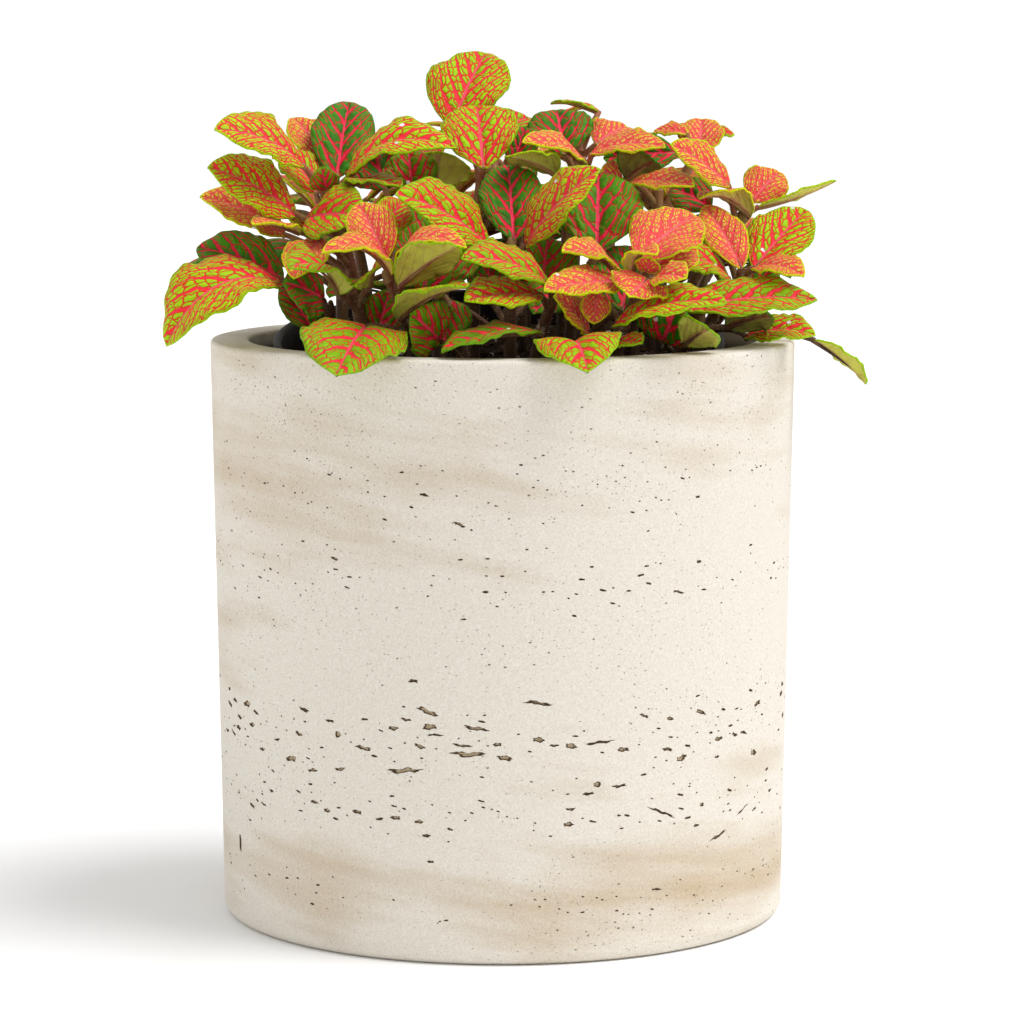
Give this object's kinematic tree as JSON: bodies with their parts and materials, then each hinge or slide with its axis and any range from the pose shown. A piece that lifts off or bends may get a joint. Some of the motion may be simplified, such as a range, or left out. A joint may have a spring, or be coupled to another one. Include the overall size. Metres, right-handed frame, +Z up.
{
  "type": "potted nerve plant",
  "caption": "Potted nerve plant: opposite pink, lime and dark green veined leaves on short stems, in a plastic growing pot on clay pebbles inside a cylindrical cast-stone planter.",
  "frame": {"origin": "centre of the planter's underside, on the floor", "axes": "+Z up; the pictured side faces -Y, with +X to the right of the picture"},
  "size_m": [0.1828, 0.1872, 0.2283],
  "materials": {
    "stone": "matte, fine grained, with small pits",
    "pot_plastic": "satin",
    "clay_pebbles": "matte, porous",
    "potting_soil": "rough, crumbly",
    "foliage": "soft satin, veined and finely hairy"
  },
  "bodies": {
    "root": {"planter": "stone", "nursery_pot": "pot_plastic", "drainage_bed": "clay_pebbles", "potting_soil": "potting_soil", "shoot_01": "foliage", "shoot_02": "foliage", "shoot_03": "foliage", "shoot_04": "foliage", "shoot_05": "foliage", "shoot_06": "foliage", "shoot_07": "foliage", "shoot_08": "foliage", "shoot_09": "foliage", "shoot_10": "foliage", "shoot_11": "foliage", "shoot_12": "foliage", "shoot_13": "foliage", "shoot_14": "foliage", "shoot_15": "foliage", "shoot_16": "foliage", "shoot_17": "foliage", "shoot_18": "foliage", "shoot_19": "foliage", "shoot_20": "foliage", "shoot_21": "foliage", "shoot_22": "foliage", "shoot_23": "foliage", "shoot_24": "foliage", "shoot_25": "foliage", "shoot_26": "foliage", "shoot_27": "foliage", "shoot_28": "foliage", "shoot_29": "foliage"}
  },
  "joints": []
}
